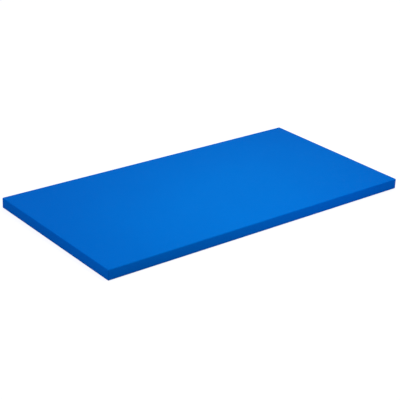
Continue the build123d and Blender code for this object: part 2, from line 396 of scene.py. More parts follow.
rear = behind_slot(base, out)
band = soften_cover(carry_round(base, out, section), out, bend, rear)
top_x, top_y = np.meshgrid(xs, ys)
top = joined(top_x, top_y, top_z + top_wave * long_waves(top_x, top_y))

band_quads = grid_quads(*band.shape[:2], closed=True)
row_z = (section[1:, 1] + section[:-1, 1]) / 2
rear_quads = rear & np.roll(rear, -1)
in_slot = rear_quads[None, :] & (row_z < slot_high)[:, None]
in_strip = rear_quads[None, :] & (row_z < slot_low)[:, None]

cover_surface = together((band, band_quads[~in_slot]), (top, grid_quads(*top.shape[:2])))
cover = make_piece("cover", *cover_surface, "cover", "cover_shell")
give_wall(cover, cover_wall)

rear_strip = make_piece("rear_strip", band, band_quads[in_strip], "cover", "rear_lower_strip")
give_wall(rear_strip, cover_wall)
print(f"cover {len(cover.data.polygons)} faces, rear strip {len(rear_strip.data.polygons)} faces")


# %% [markdown]
# ## Webbing in the corners
#
# Behind each upright corner seam lies a short length of webbing, folded round the bend. It
# takes the pull of the seam, so that the thread does not cut through the coated fabric.
#
# Seen from above, a piece of webbing is a line with a bend in it, and this line is carried
# upwards. The grid gets its own map of lengths and heights, so that the weave can follow the
# strip round the corner. A pattern fixed in space could not do that.

# %% Webbing
webbing_wall, bend_play = 0.45 * MM, 0.5 * MM


def corner_webbing(place, columns=12, steps=7):
    """Leg, quarter circle and leg, just inside the cover, carried up from foot to head."""
    node = f"corner_tape_{place}"
    low, high = corners_of(node)
    side = np.sign(low + high)[:2]
    turn = np.linspace(0, np.pi / 2, steps)
    bow = (corner_radius - cover_wall + bend_play) * (joined(np.sin(turn), np.cos(turn)) - 1)
    edge = np.array((half_length, half_width)) - cover_wall
    reach, height = (high - low)[[0, 2]]
    plan = side * np.vstack((edge - (reach, 0), edge + bow, edge - (0, reach)))
    z = np.linspace(low[2], high[2], columns)
    points, quads = joined(plan[:, :1], plan[:, 1:], z), grid_quads(len(plan), columns)
    strip = make_piece(f"corner_webbing_{place}", points, quads, "webbing", node, merge=False)
    run = np.concatenate(([0], np.cumsum(np.linalg.norm(np.diff(plan, axis=0), axis=1))))
    uv = joined(run[quads.ravel() // columns], z[quads.ravel() % columns] - low[2])
    strip.data.uv_layers.new(name="weave").data.foreach_set("uv", uv.ravel().astype(np.float32))
    give_wall(strip, webbing_wall, (*side, 0))
    return strip


corner_places = ("front_left", "front_right", "rear_left", "rear_right")
webbing = [corner_webbing(place) for place in corner_places]
print("webbing in the corners:", len(webbing))


# %% [markdown]
# ## The anti-slip base
#
# The underside is a dark woven fabric with raised dots of soft plastic, so that the pad stays
# where it is on a smooth floor. The fabric is a sheet with a thin wall. It lies a little
# above the floor, and the dots reach down to it.

# %% Base fabric
dot_height, dot_radius, dot_pitch = 0.45 * MM, 2.6 * MM, 20 * MM
base_wall = base_high[2] - dot_height
base_corner = 10 * MM


def rounded_rectangle(half_x, half_y, radius, steps=6):
    """Corner arcs joined by straight sides, anticlockwise, as x and y."""
    t = np.linspace(0, np.pi / 2, steps)
    centres = np.array(((1, 1), (-1, 1), (-1, -1), (1, -1))) * (half_x - radius, half_y - radius)
    arcs = [centre + radius * joined(np.cos(t + quarter_turn), np.sin(t + quarter_turn))
            for centre, quarter_turn in zip(centres, np.pi / 2 * np.arange(4))]
    return np.concatenate(arcs)


def base_sheet():
    """Rings that shrink from the sheet's outline to its middle, all at the height of the dots."""
    rim = rounded_rectangle(base_high[0], base_high[1], base_corner)
    shrink = np.array((1, 0.9985, 0.996, 0.9, 0.7, 0.45, 0.2, 0))[:, None]
    points = joined(rim[:, 0] * shrink, rim[:, 1] * shrink, dot_height)
    return points, grid_quads(len(shrink), len(rim), closed=True)


base_cloth = make_piece("base_fabric", *base_sheet(), "base", "base_panel")
give_wall(base_cloth, base_wall, (0, 0, -1))
print(f"base fabric: {len(base_cloth.data.polygons)} faces, {1000 * base_wall:.2f} mm thick")


# %% [markdown]
# Thousands of dots are one shape repeated. Adding the template to every centre in one array
# operation gives them all at once, and each dot keeps to sixteen faces.

# %% Dots
plain_rim = np.array((25 * MM, 20 * MM))


def repeated(faces, size, count):
    """The faces of a template with size points, for each of count copies."""
    return (faces + size * np.arange(count)[:, None, None]).reshape(-1, faces.shape[-1])


def dot_template(sides=8):
    """A low dome, as two rings and a middle, hanging down from the fabric."""
    turn = np.linspace(0, 2 * np.pi, sides, endpoint=False)
    rings = ((dot_radius, dot_height + 0.05 * MM), (0.78 * dot_radius, 0.12 * MM), (0, 0))
    points = [joined(radius * np.cos(turn), radius * np.sin(turn), height) for radius, height in rings]
    return np.concatenate(points), grid_quads(len(rings), sides, closed=True).reshape(-1, 4)


row_pitch = dot_pitch * math.sqrt(0.75)
columns, rows = ((2 * base_high[:2] - 2 * plain_rim) / (dot_pitch, row_pitch)).astype(int)
c, r = np.meshgrid(np.arange(columns), np.arange(rows))
dot_x = (c + 0.5 * (r % 2) - (columns - 0.5) / 2) * dot_pitch
centres = joined(dot_x, (r - (rows - 1) / 2) * row_pitch, 0).reshape(-1, 3)
dot_points, dot_quads = dot_template()
base_dots = make_piece("base_dots", centres[:, None] + dot_points,
                       repeated(dot_quads, len(dot_points), len(centres)), "base")
print(f"{len(centres)} dots, {len(base_dots.data.polygons)} faces")


# %% [markdown]
# ## Sewing thread
#
# A row of stitches reads as sewing because each stitch is a short, slightly raised piece of
# thread that dives into the fabric at both ends. Here a stitch is a small tube on a grid: one
# parameter along it, one round it. Along it the tube rises and falls, and it narrows at both
# ends. All the stitches of a run are worked out together.

# %% Runs of stitches
thread_radius, stitch_pitch, stitch_length = 0.22 * MM, 4.0 * MM, 3.2 * MM


def stitches(corners, up, pitch=stitch_pitch, sides=5, steps=5):
    """Stitches in straight runs between corner points, evenly spaced, as one grid each.

    Centre + u x along + (arch + r cos a) x up + r sin a x across, with r shrinking at both ends.
    """
    u = np.linspace(-1, 1, steps)[:, None, None]
    a = np.linspace(0, 2 * np.pi, sides, endpoint=False)[:, None]
    r = thread_radius * np.sqrt(1.02 - u ** 2 * 0.96)
    arch = thread_radius * (1 - 1.3 * u ** 2)
    grids = []
    for start, end in zip(corners, corners[1:]):
        start, end = np.array(start, float), np.array(end, float)
        span = np.linalg.norm(end - start)
        along = (end - start) / span
        stitch = (u * stitch_length / 2 * along + (arch + r * np.cos(a)) * np.array(up, float)
                  + r * np.sin(a) * np.cross(up, along))
        count = max(1, int(span / pitch))
        share = (np.arange(count) + 0.5) / count
        centres = start + share[:, None] * (end - start)
        grids.append(centres[:, None, None] + stitch)
    return np.concatenate(grids)


print(f"a stitch is {1000 * stitch_length:.1f} mm long, every {1000 * stitch_pitch:.1f} mm")


# %% [markdown]
# The hem is sewn down on the base with two rows of stitches. Two short rows hold each corner
# seam flat, and one row runs above the zip and one below it. All the thread of a seam is one
# piece, in the colour of the fabric it goes through.

# %% Seams
def sew(name, slot, runs):
    """One piece that holds every stitch of the given runs, each closed at both ends."""
    points = np.concatenate([stitches(*run) for run in runs])
    count, steps, sides = points.shape[:3]
    quads = grid_quads(steps, sides, closed=True).reshape(-1, 4)
    near_cap = np.arange(sides)[None]
    far_cap = near_cap + (steps - 1) * sides
    faces = [face for kind in (quads, near_cap[:, ::-1], far_cap)
             for face in repeated(kind, steps * sides, count).tolist()]
    piece = make_piece(name, points, faces, slot)
    print(f"{name}: {count} stitches, {len(piece.data.polygons)} faces")
    return piece


def rectangle_loop(half_u, half_v):
    """The corners of a rectangle round the origin, with the first one again at the end."""
    return np.array(((-1, -1), (1, -1), (1, 1), (-1, 1), (-1, -1))) * (half_u, half_v)


seams_from_rim = (4 * MM, 12 * MM)
base_seams = [([(x, y, dot_height) for x, y in rectangle_loop(*(base_high[:2] - inset))], (0, 0, -1))
              for inset in seams_from_rim]
base_thread = sew("base_thread", "base", base_seams)

seam_from_corner = 3 * MM
foot_and_head = (hem_z + edge_radius, top_z - edge_radius)
corner_runs = []
for x_side, y_side in rectangle_loop(1, 1)[:4]:
    x_seam, y_seam = x_side * (xs[-1] - seam_from_corner), y_side * (ys[-1] - seam_from_corner)
    x_wall, y_wall = x_side * half_length, y_side * half_width
    corner_runs.append(([(x_seam, y_wall, z) for z in foot_and_head], (0, y_side, 0)))
    corner_runs.append(([(x_wall, y_seam, z) for z in foot_and_head], (x_side, 0, 0)))
corner_thread = sew("corner_thread", "cover", corner_runs)

seam_from_slot, seam_from_end = 3.5 * MM, 22 * MM
seam_half = slot_end - seam_from_end
slot_seams = [([(x, half_width + lip_rise, z) for x in (-seam_half, seam_half)], (0, 1, 0))
              for z in (slot_high + seam_from_slot, slot_low - seam_from_slot)]
slot_thread = sew("slot_thread", "cover", slot_seams)


# %% [markdown]
# ## End patches
#
# Each end of the slot would tear first, so a rounded patch of cover fabric is sewn over it,
# with a row of stitches round the edge and a cross in the middle. The patch lies over the
# raised lip of the slot, so its middle stands a little proud and its rim is pulled down.

# %% Patches and their stitches
patch_half_z, patch_corner = (patch_high[2] - patch_low[2]) / 2, 5 * MM
patch_wall, patch_rise, seam_dip = 0.7 * MM, 0.75 * MM, 0.2 * MM
sewn_share, bend_share = 0.84, 0.05
sewn_height, cross_rise, patch_pitch = 1.3 * MM, 0.15 * MM, 3.2 * MM


def patch_surface(x_mid):
    """Shrinking rounded rectangles whose height above the wall rises from the rim inwards."""
    rim = rounded_rectangle(patch_half_x, patch_half_z, patch_corner)
    shrink = np.concatenate((np.linspace(1, 0.78, 5), np.linspace(0.6, 0, 4)))[:, None]
    seam = np.exp(-((shrink - sewn_share) / bend_share) ** 2)
    height = patch_wall + patch_rise * smoothstep(1 - shrink, 0, bend_share) - seam_dip * seam
    points = joined(x_mid + rim[:, 0] * shrink, half_width + height, zip_z + rim[:, 1] * shrink)
    return points, grid_quads(len(shrink), len(rim), closed=True)


patches, patch_threads = [], []
for side, place in ((-1, "left"), (1, "right")):
    x_mid = side * slot_end
    patch = make_piece(f"end_patch_{place}", *patch_surface(x_mid), "cover", f"zip_end_patch_{place}")
    give_wall(patch, patch_wall, (0, 1, 0))
    sewn = [(x_mid + x, half_width + sewn_height, zip_z + z)
            for x, z in rectangle_loop(sewn_share * patch_half_x, sewn_share * patch_half_z)]
    cross = [[(x, y + cross_rise, z) for x, y, z in (sewn[a], sewn[b])] for a, b in ((0, 2), (3, 1))]
    thread = sew(f"patch_thread_{place}", "cover",
                 [(run, (0, 1, 0), patch_pitch) for run in (sewn, *cross)])
    patches.append(patch)
    patch_threads.append(thread)


# %% [markdown]
# ## The zip
#
# A coil zip is two rows of nylon wire, each wound flat and sewn to the edge of a tape. Every
# turn has a head at the middle of the zip, where the wire bends back and is pressed wider.
# The heads of one row lie between the heads of the other, half a turn further along, and that
# is what holds the zip shut.
#
# Inside the slider a wedge pushes the rows apart. Each row leaves its place in an S of two
# equal arcs, and its tape and thread have to follow, so the S is a function that all of them
# can ask.

# %% Where the rows part
row_width, parting_length, slider_mouth = 5.0 * MM, 8 * MM, 11 * MM
row_shift = (row_high[2] - zip_z) - row_width
parting_x = slider_high[0] - slider_mouth


def parted(x):
    """How far a row is pushed aside at x: two equal arcs, which make an S."""
    radius = (parting_length ** 2 + row_shift ** 2) / (4 * row_shift)
    s = np.clip(x - parting_x, 0, parting_length)
    near = radius - np.sqrt(radius ** 2 - np.minimum(s, parting_length / 2) ** 2)
    rest = np.minimum(parting_length - s, parting_length / 2)
    far = row_shift - (radius - np.sqrt(radius ** 2 - rest ** 2))
    return np.where(s < parting_length / 2, near, far)


print(f"rows part by {row_shift * 1000:.2f} mm each, from x = {parting_x:.4f} m")


# %% [markdown]
# A texture of little bars would do from afar, but not from near, so the wire is real. One
# turn is ten points across and over the row. Repeating them with a step along the zip gives
# the centre line of the whole row, and a five-sided tube is carried along it.

# %% The coil
coil_pitch, wire_radius, row_inset = 2.4 * MM, 0.42 * MM, 0.6 * MM
turn_across = np.array((4.5, 2.6, 0.7, -0.35, -0.35, 0.7, 2.6, 4.3, 4.55, 4.55)) * MM
turn_height = np.array((2.56, 2.58, 2.58, 2.0, 1.0, 0.44, 0.44, 0.5, 1.1, 2.0)) * MM
turn_along = np.array((0.0, 0.0, 0.0, 0.0, 0.0, 0.02, 0.25, 0.55, 0.75, 0.92))
turn_swell = np.array((1, 1, 1.05, 1.3, 1.3, 1.05, 1, 1, 1, 1))


def tube(line, radius, sides=5):
    """Points round a line: r cos a along n and r sin a along b, square to its direction."""
    ahead = np.gradient(line, axis=0)
    ahead /= np.linalg.norm(ahead, axis=1, keepdims=True)
    n = np.cross(ahead, (1.0, 0.0, 0.0))
    n /= np.maximum(np.linalg.norm(n, axis=1, keepdims=True), 1e-9)
    b = np.cross(ahead, n)
    a = np.linspace(0, 2 * np.pi, sides, endpoint=False)
    r = np.broadcast_to(radius, len(line))[:, None, None]
    return line[:, None] + r * (np.cos(a)[:, None] * n[:, None] + np.sin(a)[:, None] * b[:, None])


def half_turn(side):
    """The lower row starts half a turn further along, so its heads lie between the others."""
    return 0.5 if side < 0 else 0.0


def coil_row(side):
    """The wire of one row: the points of a turn, repeated, moved aside where the row is parted."""
    start, end = row_low[0] + row_inset, row_high[0] - row_inset
    turns = int((end - start) / coil_pitch) - 1
    number = np.arange(turns)[:, None]
    x = (start + (number + half_turn(side) + turn_along) * coil_pitch).ravel()
    z = zip_z + side * (np.tile(turn_across, turns) + parted(x))
    y = tape_high[1] + np.tile(turn_height, turns)
    points = tube(joined(x, y, z), wire_radius * np.tile(turn_swell, turns))
    return points, grid_quads(*points.shape[:2], closed=True)


zip_sides = {"upper": 1, "lower": -1}
coil_rows = {place: make_piece(f"zip_row_{place}", *coil_row(side), "coil", f"zip_coil_{place}",
                               merge=False) for place, side in zip_sides.items()}
print(f"coil: {len(coil_rows['upper'].data.polygons)} faces a row")


# %% [markdown]
# Two lines of thread sew each row to its tape. They cross over every turn and dip between
# the turns, which gives the back of a coil zip its ribbed look.

# %% Sewing along the coil
line_places, line_radius = (1.9 * MM, 3.4 * MM), 0.2 * MM


def coil_thread(side, across):
    """A line that rises over each turn of the coil and dips between them: a row of cosines."""
    start, end = row_low[0] + 2 * coil_pitch, row_high[0] - 3 * coil_pitch
    steps = int((end - start) / coil_pitch) * 4
    x = start + np.arange(steps) * coil_pitch / 4
    phase = 2 * np.pi * ((x - row_low[0] - row_inset) / coil_pitch - half_turn(side))
    y = tape_high[1] + turn_height[1] + wire_radius + (0.16 * np.cos(phase) - 0.1) * MM
    z = zip_z + side * (across + parted(x))
    a = np.linspace(0, 2 * np.pi, 5, endpoint=False)
    points = joined(x, y, z)[:, None] + line_radius * joined(0, np.cos(a), np.sin(a))
    return points, grid_quads(*points.shape[:2], closed=True)


coil_threads = {}
for place, side in zip_sides.items():
    lines = together(*(coil_thread(side, across) for across in line_places))
    coil_threads[place] = make_piece(f"coil_thread_{place}", *lines, "zip_tape", merge=False)
print(f"thread along the coil: {len(coil_threads['upper'].data.polygons)} faces a row")


# %% [markdown]
# The tapes are ribbons with a straight back edge. The front edge follows the rows, so it
# steps aside where the wedge parts them. Two fine cords run along each tape beside the coil.

# %% Tapes
parting_steps = parting_x + parting_length * np.linspace(0, 1, 7)
tape_steps = side_samples(tape_high[0], 24 * MM, tuple(parting_steps))
tape_back, tape_front = tape_high[2] - zip_z, 1.8 * MM
cord_places, cord_width, cord_height = (5.9 * MM, 7.3 * MM), 0.45 * MM, 0.3 * MM


def zip_tape(side, columns=25):
    """Strip between the row's edge and the straight back edge, with its cords as round bumps.

    The lower tape mirrors the upper one, so its faces are numbered the other way round.
    """
    w = np.linspace(0, 1, columns)
    front = tape_front + parted(tape_steps)
    across = front[:, None] * (1 - w) + tape_back * w
    cords = sum(np.exp(-((across - middle) / cord_width) ** 2) for middle in cord_places)
    points = joined(tape_steps[:, None], tape_high[1] + cord_height * cords, zip_z + side * across)
    quads = grid_quads(*across.shape)
    return points, quads if side > 0 else quads[..., ::-1]


tapes = {}
for place, side in zip_sides.items():
    tape = make_piece(f"zip_tape_cloth_{place}", *zip_tape(side), "zip_tape", f"zip_tape_{place}",
                      merge=False)
    give_wall(tape, tape_high[1] - tape_low[1], (0, 1, 0))
    tapes[place] = tape
print(f"tapes {tape_back - tape_front:.4f} m wide")


# %% [markdown]
# Behind the slider the rows are locked, and in front of it they stand apart. A row that
# changed along its length would have to be worked out anew for every place of the slider.
# Here each row, its thread and its tape only get a mesh of their own.

# %% Meshes of their own
for place, edge in (("upper", slot_high), ("lower", slot_low)):
    for piece in (coil_rows[place], coil_threads[place], tapes[place]):
        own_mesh(piece)


# %% [markdown]
# ## The foam inside
#
# Three foams are glued into one block: a firm closed-cell layer above and below, and a soft
# open-cell core. The cover hides them, but they show when it is unzipped and when the model
# is taken apart. Each is closed all round: the same band as the cover, between two grids.

# %% A block of foam
foam_step, groove_relief = 40 * MM, 0.7 * MM


def foam_piece(name, slot, node, section, long_stops=()):
    """Band round the outline, with a grid over its first ring and one under its last.

    Where the band passes the slot of the zip, it is set back to leave a groove.
    """
    high = corners_of(node)[1]
    foam_xs = side_samples(high[0] - corner_radius, foam_step, long_stops)
    foam_ys = side_samples(high[1] - corner_radius, foam_step)
    base, out, _ = outline(foam_xs, foam_ys, 8)
    ring = carry_round(base, out, section)
    groove = behind_slot(base, out) & (np.abs(ring[..., 2] - zip_z) < slot_high - zip_z)
    ring[..., 1] = np.where(groove, slider_low[1] - groove_relief, ring[..., 1])
    surfaces = [(ring, grid_quads(*ring.shape[:2], closed=True))]
    grid_x, grid_y = np.meshgrid(foam_xs, foam_ys)
    for d, z in (section[0], section[-1]):
        x_share, y_share = 1 + min(d, 0) / np.array((foam_xs[-1], foam_ys[-1]))
        surfaces.append((joined(grid_x * x_share, grid_y * y_share, z), grid_quads(*grid_x.shape)))
    piece = make_piece(name, *together(*surfaces), slot, node)
    piece.data.set_sharp_from_angle(angle=math.radians(40))
    print(name, len(piece.data.polygons), "faces")
    return piece


# %% [markdown]
# The upper layer is rounded along its top edge, as the cover is. The lower layer is rounded
# below, and it is stepped back under the pad to make room for the turned-under hem. The core
# has a groove at the rear for the zip. Two levels close together at each edge of the groove
# keep that edge crisp.

# %% The three foams
hem_gap, groove_edge = 0.3 * MM, 0.02 * MM
(top_low, top_high), (core_low, core_high), (bottom_low, bottom_high) = (
    corners_of(node)[:, 2] for node in ("foam_top_layer", "foam_core", "foam_bottom_layer"))
rim_low = hem_z + cover_wall
foam_edge = corners_of("foam_core")[1, 0]
plug_reach = corner_radius - (hem_width + hem_gap - (half_length - foam_edge))

top_section = np.vstack(([0, top_high], upper_fold(top_high, edge_radius, 6),
                         [corner_radius, top_low], [0, top_low]))
bottom_section = np.vstack(([0, bottom_high], [corner_radius, bottom_high],
                            lower_fold(rim_low, edge_radius, 6),
                            [0, rim_low], [plug_reach, rim_low], [plug_reach, bottom_low]))
both_sides = np.array((groove_edge, -groove_edge))
core_levels = np.concatenate(([core_high], slot_high + both_sides, slot_low + both_sides, [core_low]))
core_section = np.vstack(([0, core_high], joined(corner_radius, core_levels), [0, core_low]))
groove_ends = tuple(sign * (slot_end + nudge) for sign in (-1, 1) for nudge in both_sides)

firm_top = foam_piece("firm_foam_top", "firm_foam", "foam_top_layer", top_section)
soft_core = foam_piece("soft_foam_core", "soft_foam", "foam_core", core_section, groove_ends)
firm_bottom = foam_piece("firm_foam_bottom", "firm_foam", "foam_bottom_layer", bottom_section)


# %% [markdown]
# ## Finishes
#
# Every finish is worked out by nodes from the piece's own coordinates, so it stays in place
# when a piece moves. Two small classes keep the recipes short. The first only adds nodes and
# links them, so it also serves the room around the pad.

# %% Nodes
class Nodes:
    """The nodes of a material or a world. Inputs take numbers or other nodes' outputs."""

    def __init__(self, owner):
        self.owner, self.tree = owner, owner.node_tree

    def connect(self, node, **inputs):
        """Sets or links inputs by name, or by number as in _0. A space in a name is an underscore."""
        for key, value in inputs.items():
            socket = node.inputs[int(key[1:]) if key[1:].isdigit() else key.replace("_", " ")]
            if isinstance(value, bpy.types.NodeSocket):
                self.tree.links.new(value, socket)
            else:
                socket.default_value = value
        return node

    def add(self, kind, settings=(), **inputs):
        """A new node with its settings and inputs."""
        node = self.tree.nodes.new("ShaderNode" + kind)
        for key, value in dict(settings).items():
            setattr(node, key, value)
        return self.connect(node, **inputs)

    def math(self, operation, *values):
        """One step of arithmetic."""
        numbered = {f"_{number}": value for number, value in enumerate(values)}
        return self.add("Math", {"operation": operation}, **numbered).outputs[0]


# %% [markdown]
# The second class is a finish. It starts from the shader that comes with every new material,
# and it knows the few steps that all the recipes below are written in: clouds of noise, a
# change of range, a mix of two colours, and a bump.

# %% A finish and its steps
class Finish(Nodes):
    """A material with one Principled shader, worked out from places fixed to the piece.

    A place is in metres along the piece's own axes, or along its own map of lengths.
    """

    def __init__(self, name, color, roughness, specular=0.5, uv=None, **inputs):
        material = bpy.data.materials.new(name)
        material.use_nodes = True
        super().__init__(material)
        self.shader = self.tree.nodes["Principled BSDF"]
        self.shade(Base_Color=(*color, 1), Roughness=roughness, Specular_IOR_Level=specular, **inputs)
        self.at = (self.add("UVMap", {"uv_map": uv}).outputs["UV"] if uv
                   else self.add("TexCoord").outputs["Object"])

    def shade(self, **inputs):
        """Sets or links the shader's inputs."""
        self.connect(self.shader, **inputs)

    def noise(self, scale, detail=2.0, rough=0.5, at=None):
        """Soft clouds of numbers round a half, about that many in a metre."""
        return self.add("TexNoise", Vector=at or self.at, Scale=scale, Detail=detail,
                        Roughness=rough).outputs[0]

    def ranged(self, value, low, high, to_low, to_high):
        """The value carried from the first range to the second, and held at its ends."""
        return self.add("MapRange", _0=value, _1=low, _2=high, _3=to_low, _4=to_high).outputs[0]

    def between(self, share, first, second):
        """A colour mixed between two, each either plain or another node's output."""
        first, second = (c if isinstance(c, bpy.types.NodeSocket) else (*c, 1) for c in (first, second))
        return self.add("Mix", {"data_type": "RGBA"}, _0=share, _6=first, _7=second).outputs[2]

    def relief(self, height, depth, strength):
        """A bump of the given depth in metres."""
        self.shade(Normal=self.add("Bump", Height=height, Strength=strength, Distance=depth).outputs[0])

    def wear(self, *pieces):
        """Gives the pieces this finish and no other."""
        for piece in pieces:
            piece.data.materials.clear()
            piece.data.materials.append(self.owner)


# %% [markdown]
# ### Coated fabric
#
# The cover is a knitted cloth with a soft coating, pressed with a very fine leather grain.
# Its shine is low and takes the colour of the coating. The grain comes from small cells a
# little over a millimetre wide, broken up by noise, and the creases between the cells are
# painted a darker blue as painted shade. A fine dark line of painted shade also lies in the
# crease of each corner seam. Very faint clouds in the colour and in the roughness keep the
# large plain top from looking printed.

# %% Cover finish
blue = (0.0, 0.176, 0.583)
deeper_blue = (0.0, 0.162, 0.551)
# Painted shade: the creases of the grain are darkened to this blue.
grain_crease_shade_blue = (0.0, 0.138, 0.488)
# Painted shade: a fine dark line in the crease of each corner seam.
seam_shade_blue = (0.0, 0.06, 0.26)


def seam_crease_shade(look):
    """Is 1 in the fine line of painted shade in each corner seam's crease, where |x| and |y| are equally
    far past the sides.
    """
    x, y, z = look.add("SeparateXYZ", Vector=look.at).outputs
    past = [look.math("SUBTRACT", look.math("ABSOLUTE", axis), start)
            for axis, start in ((x, xs[-1]), (y, ys[-1]))]
    apart = look.math("ABSOLUTE", look.math("SUBTRACT", *past))
    in_corner = look.math("GREATER_THAN", look.math("MINIMUM", *past), 0.0)
    below_fold = look.ranged(z, top_z - edge_radius, top_z - 0.4 * edge_radius, 1, 0)
    line = look.ranged(apart, 0.25 * MM, 0.6 * MM, 1, 0)
    return look.math("MULTIPLY", in_corner, look.math("MULTIPLY", below_fold, line))


def coated_fabric():
    """Clouds and mottle in the colour; cells with bent edges, and fine noise, in the bump.

    The creases of the grain and of the corner seams are darkened with painted shade.
    """
    look = Finish("coated_fabric", blue, 0.55, 0.004, Specular_Tint=(0.05, 0.45, 1.0, 1))
    clouds, mottle = look.noise(2.6, 3), look.noise(38, 3)
    share = look.math("MULTIPLY_ADD", mottle, 0.35, look.ranged(clouds, 0.3, 0.7, 0, 0.65))
    warp = look.add("TexNoise", Vector=look.at, Scale=420.0).outputs["Color"]
    bent = look.add("VectorMath", {"operation": "MULTIPLY_ADD"},
                    _0=warp, _1=(0.9 * MM,) * 3, _2=look.at)
    cells = look.add("TexVoronoi", {"feature": "DISTANCE_TO_EDGE"}, Vector=bent.outputs[0], Scale=780.0)
    raised = look.ranged(cells.outputs[0], 0.0, 0.22, 0, 1)
    # Painted shade: the creases between the grain's cells take the darker blue.
    grain_with_crease_shade = look.between(raised, grain_crease_shade_blue, look.between(share, blue, deeper_blue))
    # Painted shade: the mask lays a dark line in the crease of each corner seam.
    look.shade(Base_Color=look.between(seam_crease_shade(look), grain_with_crease_shade, seam_shade_blue),
               Roughness=look.ranged(mottle, 0.3, 0.7, 0.5, 0.6))
    look.relief(look.math("MULTIPLY_ADD", look.noise(2600, 2), 0.3, raised), 0.12 * MM, 0.8)
    return look


coated_fabric().wear(cover, rear_strip, *patches)


# %% [markdown]
# ### Woven finishes
#
# Tape, webbing and base fabric are all weaves. A weave is two sets of threads, one along and
# one across, which take turns on top. Two waves at right angles, multiplied, give that
# chequer of small bumps. Only the thread's width and the colour differ between the three.

# %% Weaves
def wave_scale(period):
    """The Wave texture turns 20 radians for each unit, so this scale gives one band a period."""
    return 2 * math.pi / (20 * period)


def woven(name, color, dark, along, across, roughness, depth, uv=None, axes=("X", "Z")):
    """Chequer of two waves: threads of the given widths along and across."""
    look = Finish(name, color, roughness, 0.15, uv)
    waves = [look.add("TexWave", {"bands_direction": axis}, Vector=look.at, Scale=wave_scale(period),
                      Distortion=0.25, Detail=1.0).outputs[1]
             for axis, period in zip(axes, (along, across))]
    chequer = look.math("MULTIPLY", *waves)
    look.shade(Base_Color=look.between(chequer, dark, color))
    look.relief(look.math("MULTIPLY_ADD", look.noise(900, 3), 0.25, chequer), depth, 0.8)
    return look


woven("zip_tape_weave", (0.004, 0.075, 0.33), (0.002, 0.03, 0.15), 0.9 * MM, 0.7 * MM,
      0.8, 0.15 * MM).wear(*tapes.values())
woven("webbing_weave", (0.01, 0.06, 0.24), (0.004, 0.02, 0.09), 1.4 * MM, 1.1 * MM,
      0.85, 0.2 * MM, uv="weave", axes=("X", "Y")).wear(*webbing)
woven("base_weave", (0.055, 0.062, 0.075), (0.018, 0.02, 0.026), 1.3 * MM, 1.3 * MM,
      0.9, 0.2 * MM, axes=("X", "Y")).wear(base_cloth)


# %% [markdown]
# ### Thread
#
# Sewing thread is twisted from yarns, so its colour changes in slanting bands. The cover and
# the zip are sewn in blue, and the base in dark grey, each tone on tone.

# %% Thread finishes
def twisted_thread(name, color, dark, period=0.5 * MM):
    """Slanting bands of two shades, raised a little, one for each turn of the yarn."""
    look = Finish(name, color, 0.6, 0.2)
    twist = look.add("TexWave", {"bands_direction": "DIAGONAL"}, Vector=look.at,
                     Scale=wave_scale(period)).outputs[1]
    look.shade(Base_Color=look.between(twist, dark, color))
    look.relief(twist, 0.04 * MM, 0.6)
    return look


twisted_thread("blue_thread", (0.01, 0.2, 0.66), (0.002, 0.09, 0.36)).wear(
    corner_thread, slot_thread, *patch_threads, *coil_threads.values())
twisted_thread("dark_thread", (0.09, 0.1, 0.12), (0.03, 0.034, 0.042)).wear(base_thread)
print("thread finishes:", [m.name for m in bpy.data.materials if "thread" in m.name])


# %% [markdown]
# ### Coil, dots and glue
#
# The nylon coil is smooth, a little darker than the tape and slightly shiny. The dots are
# matt soft plastic, and dry glue is tough and half shiny. All three are poured or pressed,
# so one recipe serves them: a fine grain, with a slow change of shade and shine.

# %% Plastic finishes
def dimmed(color):
    """The same colour with a fifth less light."""
    return tuple(0.8 * c for c in color)


def moulded(name, color, roughness, grain, depth, specular=0.4):
    """Soft or hard plastic with a fine moulded grain and a little change of shine."""
    look = Finish(name, color, roughness, specular)
    fine = look.noise(grain, 3)
    look.shade(Base_Color=look.between(look.noise(60, 2), dimmed(color), color),
               Roughness=look.ranged(fine, 0.3, 0.7, roughness - 0.06, roughness + 0.06))
    look.relief(fine, depth, 0.4)
    return look


moulded("nylon_coil", (0.004, 0.062, 0.29), 0.38, 700, 0.02 * MM).wear(*coil_rows.values())
moulded("anti_slip_dots", (0.075, 0.085, 0.105), 0.6, 1200, 0.03 * MM, 0.3).wear(base_dots)
glue_films = [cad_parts[node] for node in ("upper_glue_film", "lower_glue_film")]
moulded("dry_adhesive", (0.6, 0.52, 0.36), 0.45, 300, 0.08 * MM).wear(*glue_films)
print("glue films:", [film.name for film in glue_films])


# %% [markdown]
# ### Foam
#
# Foam is all cells: tiny closed ones in the firm layers, larger open ones in the core. A
# cell pattern gives both, at two sizes, in the pale grey and the cream that these foams have.

# %% Foam finishes
def cellular(name, color, dark, cells, depth):
    """Foam: rounded cells with thin darker walls, mottled by slow noise."""
    look = Finish(name, color, 0.95, 0.1)
    cell = look.add("TexVoronoi", Vector=look.at, Scale=cells).outputs[0]
    share = look.math("MULTIPLY", cell, look.noise(9, 3))
    look.shade(Base_Color=look.between(share, color, dark))
    look.relief(cell, depth, 0.7)
    return look


firm_cells, soft_cells = 1400.0, 700.0
cellular("closed_cell_foam", (0.62, 0.66, 0.7), (0.42, 0.46, 0.5), firm_cells,
         0.12 * MM).wear(firm_top, firm_bottom)
cellular("open_cell_foam", (0.78, 0.68, 0.42), (0.5, 0.4, 0.2), soft_cells,
         0.3 * MM).wear(soft_core)
print(f"foam cells: {1000 / firm_cells:.1f} mm in the firm layers, {1000 / soft_cells:.1f} mm in the core")


# %% [markdown]
# ### Metal
#
# The slider and its tab are die-cast zinc with a nickel finish, tumbled until their edges are
# soft. The stops are bare aluminium wire, pressed flat. Handling leaves fine scratches along
# the zip, so the noise that makes them is stretched that way.

